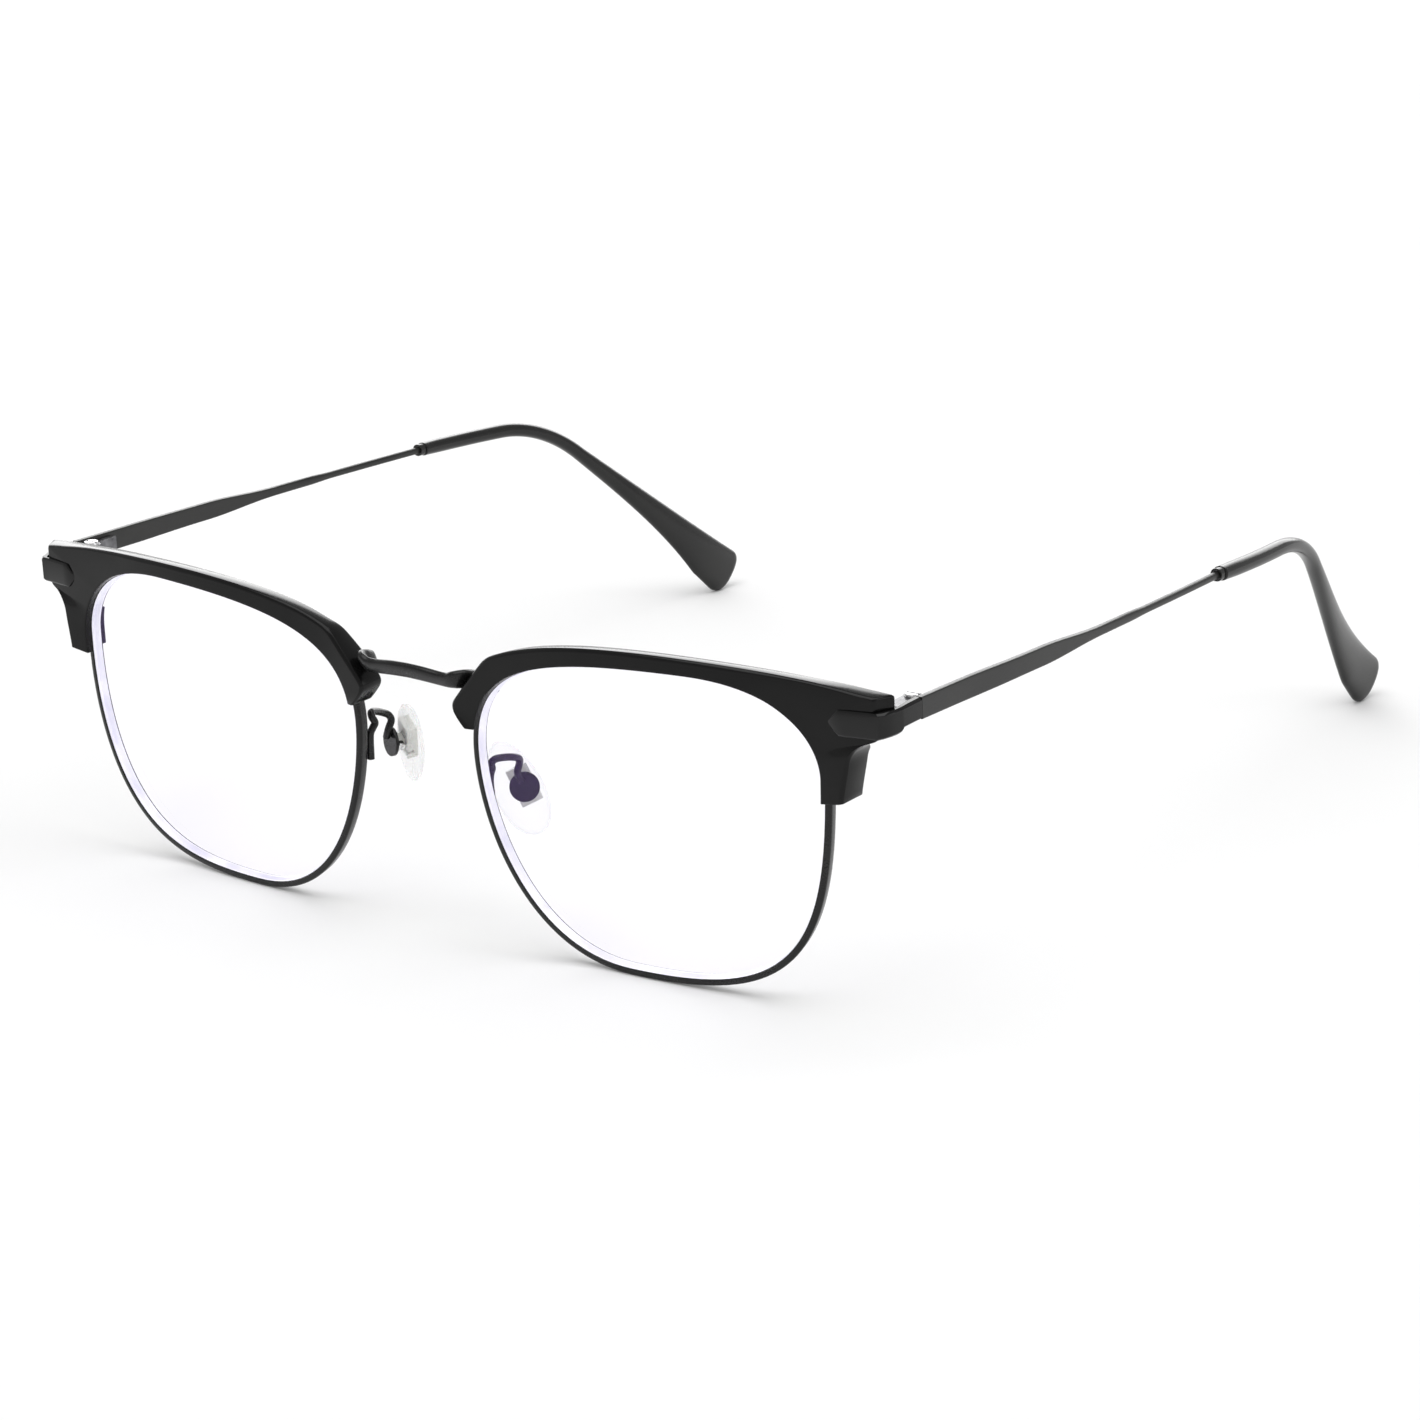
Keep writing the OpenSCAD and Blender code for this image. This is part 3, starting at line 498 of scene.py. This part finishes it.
def pad_mesh(pad):
    """Soft clear pad: rounded back edge, domed front, the lower end fuller than the upper."""
    turn, rock = math.radians(pad["turn"]), math.radians(pad["rock"])
    w = PAD_W * math.cos(turn) + PAD_N * math.sin(turn)
    n = PAD_N * math.cos(turn) - PAD_W * math.sin(turn)
    v2 = PAD_V * math.cos(rock) - n * math.sin(rock)
    n2 = n * math.cos(rock) + PAD_V * math.sin(rock)
    pin = PAD_ORG + n * PAD_PIN + Vector((0, 0, pad["lift"]))
    rings = []
    for share, height in PAD_ROWS:
        middle = pin + n2 * (PAD_BASE - PAD_PIN + height)
        ring = []
        for j in range(PAD_COUNT):
            a = 2 * math.pi * j / PAD_COUNT
            half_width = share * (1 - PAD_TAPER * math.sin(a)) * PAD_WID / 2
            across = PAD_SIDE + half_width * math.cos(a)
            ring.append(middle + w * across + v2 * (share * PAD_LEN / 2 * math.sin(a)))
        rings.append(ring)
    return skin(rings)


# ---------- materials ----------

GRAIN_DEPTH = 0.02 * MM


def nodes_of(name):
    mat = bpy.data.materials.new(name)
    mat.use_nodes = True
    tree = mat.node_tree
    return mat, tree, tree.nodes["Principled BSDF"], tree.nodes["Material Output"]


def noise(tree, scale, detail=3.0, stretch=(1, 1, 1)):
    coord = tree.nodes.new("ShaderNodeTexCoord")
    mapping = tree.nodes.new("ShaderNodeMapping")
    mapping.inputs["Scale"].default_value = stretch
    tex = tree.nodes.new("ShaderNodeTexNoise")
    tex.inputs["Scale"].default_value = scale
    tex.inputs["Detail"].default_value = detail
    tree.links.new(coord.outputs["Object"], mapping.inputs["Vector"])
    tree.links.new(mapping.outputs["Vector"], tex.inputs["Vector"])
    return tex.outputs["Fac"]


def spread(tree, value, low, high):
    node = tree.nodes.new("ShaderNodeMapRange")
    node.inputs["From Min"].default_value = 0.3
    node.inputs["From Max"].default_value = 0.7
    node.inputs["To Min"].default_value = low
    node.inputs["To Max"].default_value = high
    tree.links.new(value, node.inputs["Value"])
    return node.outputs["Result"]


def two_tone(tree, value, dark, light):
    ramp = tree.nodes.new("ShaderNodeValToRGB")
    ramp.color_ramp.elements[0].position = 0.3
    ramp.color_ramp.elements[0].color = (*dark, 1)
    ramp.color_ramp.elements[1].position = 0.7
    ramp.color_ramp.elements[1].color = (*light, 1)
    tree.links.new(value, ramp.inputs["Fac"])
    return ramp.outputs["Color"]


def finish_material(name, dark, light, rough, cloud, grain, bump, metallic=0.0, specular=0.5,
                    stretch=(1, 1, 1)):
    """Cloudy colour and roughness at one scale, fine surface grain at another."""
    mat, tree, bsdf, _ = nodes_of(name)
    soft = noise(tree, cloud)
    tree.links.new(two_tone(tree, soft, dark, light), bsdf.inputs["Base Color"])
    fine = noise(tree, grain, 4.0, stretch)
    both = tree.nodes.new("ShaderNodeMath")
    both.operation = "MULTIPLY_ADD"
    both.inputs[1].default_value = 0.5
    tree.links.new(fine, both.inputs[0])
    half = tree.nodes.new("ShaderNodeMath")
    half.operation = "MULTIPLY"
    half.inputs[1].default_value = 0.5
    tree.links.new(soft, half.inputs[0])
    tree.links.new(half.outputs[0], both.inputs[2])
    tree.links.new(spread(tree, both.outputs[0], *rough), bsdf.inputs["Roughness"])
    bumps = tree.nodes.new("ShaderNodeBump")
    bumps.inputs["Strength"].default_value = bump
    bumps.inputs["Distance"].default_value = GRAIN_DEPTH
    tree.links.new(fine, bumps.inputs["Height"])
    tree.links.new(bumps.outputs["Normal"], bsdf.inputs["Normal"])
    bsdf.inputs["Metallic"].default_value = metallic
    bsdf.inputs["Specular IOR Level"].default_value = specular
    return mat


def lens_material():
    """Fully clear pane; a faint violet reflection is laid over whatever shows through."""
    mat, tree, bsdf, out = nodes_of("lens_clear")
    tree.nodes.remove(bsdf)
    clear = tree.nodes.new("ShaderNodeBsdfTransparent")
    clear.inputs["Color"].default_value = (0.995, 0.995, 0.998, 1)
    shine = tree.nodes.new("ShaderNodeBsdfGlossy")
    patch = noise(tree, 60)
    tree.links.new(two_tone(tree, patch, (0.016, 0.01, 0.03), (0.022, 0.014, 0.038)), shine.inputs["Color"])
    tree.links.new(spread(tree, noise(tree, 900), 0.01, 0.03), shine.inputs["Roughness"])
    both = tree.nodes.new("ShaderNodeAddShader")
    tree.links.new(clear.outputs[0], both.inputs[0])
    tree.links.new(shine.outputs[0], both.inputs[1])
    tree.links.new(both.outputs[0], out.inputs["Surface"])
    return mat


def glowing_lens_edge_material():
    """Ground edge of the lens: pale, slightly violet, its own tint glowing a little as painted light."""
    mat, tree, bsdf, _ = nodes_of("lens_edge")
    tint = two_tone(tree, noise(tree, 180), (0.66, 0.65, 0.74), (0.87, 0.87, 0.91))
    tree.links.new(tint, bsdf.inputs["Base Color"])
    bsdf.inputs["Roughness"].default_value = 0.35
    # Painted light: the edge's tint is also its emission, so the band glows and stays bright inside the
    # groove.
    tree.links.new(tint, bsdf.inputs["Emission Color"])
    bsdf.inputs["Emission Strength"].default_value = 0.28
    return mat


def silicone_material():
    """Clear soft silicone: see-through where it faces the eye, milky and bright along its outline."""
    mat, tree, bsdf, out = nodes_of("pad_silicone")
    tint = two_tone(tree, noise(tree, 250), (0.85, 0.86, 0.86), (0.94, 0.95, 0.95))
    tree.links.new(tint, bsdf.inputs["Base Color"])
    tree.links.new(spread(tree, noise(tree, 1500), 0.12, 0.22), bsdf.inputs["Roughness"])
    bsdf.inputs["Subsurface Weight"].default_value = 0.2
    bsdf.inputs["Subsurface Scale"].default_value = 0.001
    clear = tree.nodes.new("ShaderNodeBsdfTransparent")
    clear.inputs["Color"].default_value = (0.985, 0.988, 0.988, 1)
    facing = tree.nodes.new("ShaderNodeLayerWeight")
    facing.inputs["Blend"].default_value = 0.3
    amount = tree.nodes.new("ShaderNodeMapRange")
    amount.inputs["To Min"].default_value = 0.02
    amount.inputs["To Max"].default_value = 0.5
    tree.links.new(facing.outputs["Facing"], amount.inputs["Value"])
    both = tree.nodes.new("ShaderNodeMixShader")
    tree.links.new(amount.outputs["Result"], both.inputs["Fac"])
    tree.links.new(clear.outputs[0], both.inputs[1])
    tree.links.new(bsdf.outputs[0], both.inputs[2])
    tree.links.new(both.outputs[0], out.inputs["Surface"])
    return mat


BLACK = (0.003, 0.003, 0.003)
MATERIALS = {
    "brow_plastic": finish_material(
        "brow_plastic", BLACK, (0.006, 0.006, 0.006), (0.12, 0.2), 90, 2600, 0.08, specular=0.2),
    "tip_plastic": finish_material(
        "tip_plastic", BLACK, (0.008, 0.008, 0.007), (0.16, 0.26), 110, 2200, 0.1, specular=0.4),
    "black_metal": finish_material(
        "black_metal", (0.006, 0.006, 0.006), (0.012, 0.012, 0.012), (0.2, 0.32), 160, 5200, 0.3,
        specular=0.3),
    "temple_metal": finish_material(
        "temple_metal", (0.006, 0.006, 0.006), (0.013, 0.013, 0.012), (0.28, 0.4), 120, 5200, 0.35,
        specular=0.45, stretch=(1, 0.25, 1)),
    "plate_metal": finish_material(
        "plate_metal", (0.004, 0.004, 0.004), (0.008, 0.008, 0.008), (0.1, 0.18), 160, 4200, 0.12,
        specular=0.3),
    "hinge_metal": finish_material(
        "hinge_metal", (0.1, 0.1, 0.105), (0.24, 0.24, 0.25), (0.25, 0.42), 700, 5200, 0.4,
        metallic=0.9, stretch=(1, 1, 6)),
    "screw_steel": finish_material(
        "screw_steel", (0.55, 0.55, 0.56), (0.8, 0.8, 0.8), (0.18, 0.34), 900, 6000, 0.3,
        metallic=1.0, stretch=(1, 8, 1)),
    "dark_screw": finish_material(
        "dark_screw", (0.06, 0.06, 0.062), (0.14, 0.14, 0.145), (0.25, 0.4), 900, 6000, 0.3,
        metallic=0.8),
    "pad_core_plastic": finish_material(
        "pad_core_plastic", (0.62, 0.62, 0.58), (0.8, 0.8, 0.76), (0.2, 0.35), 500, 3000, 0.2),
    "lens_clear": lens_material(),
    "lens_edge": glowing_lens_edge_material(),
    "pad_silicone": silicone_material(),
}


def wear(obj, *names):
    obj.data.materials.clear()
    for n in names:
        obj.data.materials.append(MATERIALS[n])


# ---------- pieces ----------

def add(name, built, side, body, material, *nodes, sharp=32.0, slot=None):
    obj = new_object(name, built[0], built[1], side, sharp)
    wear(obj, material)
    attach(obj, body)
    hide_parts(*nodes)
    return obj


add("bridge_wire", bridge_mesh(), 1, "front", "black_metal", "bridge")
RIM, LENS, BROW, PLATE = rim_mesh(), lens_mesh(), brow_mesh(), plate_mesh()
TEMPLE, TIP = temple_mesh(), tip_mesh()
for name, side in SIDES.items():
    arm = "temple_arm_" + name
    add("eyewire_" + name, RIM, side, "front", "black_metal", "rim_" + name)
    add("browline_" + name, BROW, side, "front", "brow_plastic", "brow_bar_" + name)
    add("arrow_plate_" + name, PLATE, side, "front", "plate_metal", "corner_plate_" + name, sharp=22)
    add("temple_blade_" + name, TEMPLE, side, arm, "temple_metal", "temple_" + name, slot="black_metal")
    add("temple_sleeve_" + name, TIP, side, arm, "tip_plastic", "ear_tip_" + name)
    glass = add("lens_pane_" + name, LENS, side, "front", "lens_clear", "lens_" + name)
    wear(glass, "lens_clear", "lens_edge")
    for face in list(glass.data.polygons)[LENS[2]:]:
        face.material_index = 1
    pad = PADS[name]
    add("arm_wire_" + name, arm_mesh(pad), side, "front", "black_metal", "pad_arm_" + name)
    add("silicone_" + name, pad_mesh(pad), side, "nose_rest_" + name, "pad_silicone",
        "nose_pad_" + name, sharp=60)

KEPT = {
    "hinge_front": "hinge_metal", "hinge_rear": "hinge_metal", "hinge_screw": "screw_steel",
    "rim_lock": "black_metal", "lock_screw": "dark_screw", "brow_lugs": "black_metal",
    "brow_screws": "dark_screw", "end_bracket": "black_metal", "pad_box": "black_metal",
    "pad_core": "pad_core_plastic", "pad_screw": "screw_steel",
}
for stem, material in KEPT.items():
    for name in SIDES:
        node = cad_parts[stem + "_" + name]
        wear(node, material)
        weld = node.modifiers.new("weld", "WELD")
        weld.merge_threshold = 0.002 * MM
        bevel = node.modifiers.new("edges", "BEVEL")
        bevel.width = 0.06 * MM
        bevel.segments = 2
        bevel.limit_method = "ANGLE"
        bevel.angle_limit = math.radians(40)


# ---------- stage ----------

def floor():
    size = 6.0
    mesh = bpy.data.meshes.new("floor")
    corners = [(-size, -size, 0), (size, -size, 0), (size, size, 0), (-size, size, 0)]
    mesh.from_pydata(corners, [], [(0, 1, 2, 3)])
    obj = bpy.data.objects.new("floor", mesh)
    bpy.context.scene.collection.objects.link(obj)
    mat, tree, bsdf, _ = nodes_of("floor_white")
    white = two_tone(tree, noise(tree, 3), (0.88, 0.88, 0.88), (0.9, 0.9, 0.9))
    tree.links.new(white, bsdf.inputs["Base Color"])
    bsdf.inputs["Roughness"].default_value = 0.9
    bsdf.inputs["Specular IOR Level"].default_value = 0.0
    mesh.materials.append(mat)


def softbox(name, at, target, width, height, power):
    data = bpy.data.lights.new(name, "AREA")
    data.shape = "RECTANGLE"
    data.size, data.size_y, data.energy = width, height, power
    obj = bpy.data.objects.new(name, data)
    obj.location = at
    obj.rotation_euler = (Vector(target) - Vector(at)).to_track_quat("-Z", "Y").to_euler()
    bpy.context.scene.collection.objects.link(obj)


def world_light():
    world = bpy.data.worlds.new("studio")
    bpy.context.scene.world = world
    world.use_nodes = True
    tree = world.node_tree
    back = tree.nodes["Background"]
    coord = tree.nodes.new("ShaderNodeTexCoord")
    split = tree.nodes.new("ShaderNodeSeparateXYZ")
    tree.links.new(coord.outputs["Generated"], split.inputs["Vector"])
    ramp = tree.nodes.new("ShaderNodeValToRGB")
    ramp.color_ramp.elements[0].position = 0.0
    ramp.color_ramp.elements[0].color = (0.75, 0.75, 0.75, 1)
    ramp.color_ramp.elements[1].position = 0.8
    ramp.color_ramp.elements[1].color = (0.35, 0.35, 0.35, 1)
    tree.links.new(split.outputs["Z"], ramp.inputs["Fac"])
    tree.links.new(ramp.outputs["Color"], back.inputs["Color"])
    back.inputs["Strength"].default_value = 1.0


# Azimuth, elevation and roll in degrees, place in working millimetres, focal length
CAMERA_ANGLES, CAMERA_AT, CAMERA_LENS = (37.767, 18.391, -2.772), (342.44, -380.95, 198.72), 104.74


def camera():
    azimuth, elevation, roll = (math.radians(a) for a in CAMERA_ANGLES)
    flat = math.cos(elevation)
    back = Vector((math.sin(azimuth) * flat, -math.cos(azimuth) * flat, math.sin(elevation)))
    level = Vector((math.cos(azimuth), math.sin(azimuth), 0))
    upright = back.cross(level)
    right = level * math.cos(roll) + upright * math.sin(roll)
    up = upright * math.cos(roll) - level * math.sin(roll)
    data = bpy.data.cameras.new("camera")
    data.sensor_width = 36.0
    data.lens = CAMERA_LENS
    data.clip_start = 0.01
    obj = bpy.data.objects.new("camera", data)
    bpy.context.scene.collection.objects.link(obj)
    at = Vector(CAMERA_AT) * MM + ORIGIN
    rows = [(right[k], up[k], back[k], at[k]) for k in range(3)]
    obj.matrix_world = Matrix(rows + [(0, 0, 0, 1)])
    bpy.context.scene.camera = obj


floor()
world_light()
softbox("overhead", (0.1, -0.1, 1.2), (0, 0, 0), 1.4, 1.2, 11.0)
softbox("behind", (-0.9, 1.25, 0.5), (0, 0, 0.03), 2.2, 0.7, 15.0)
softbox("right", (1.4, 0.3, 0.6), (0, 0, 0.03), 0.7, 1.0, 3.0)
camera()
bpy.context.scene.view_settings.view_transform = "Standard"
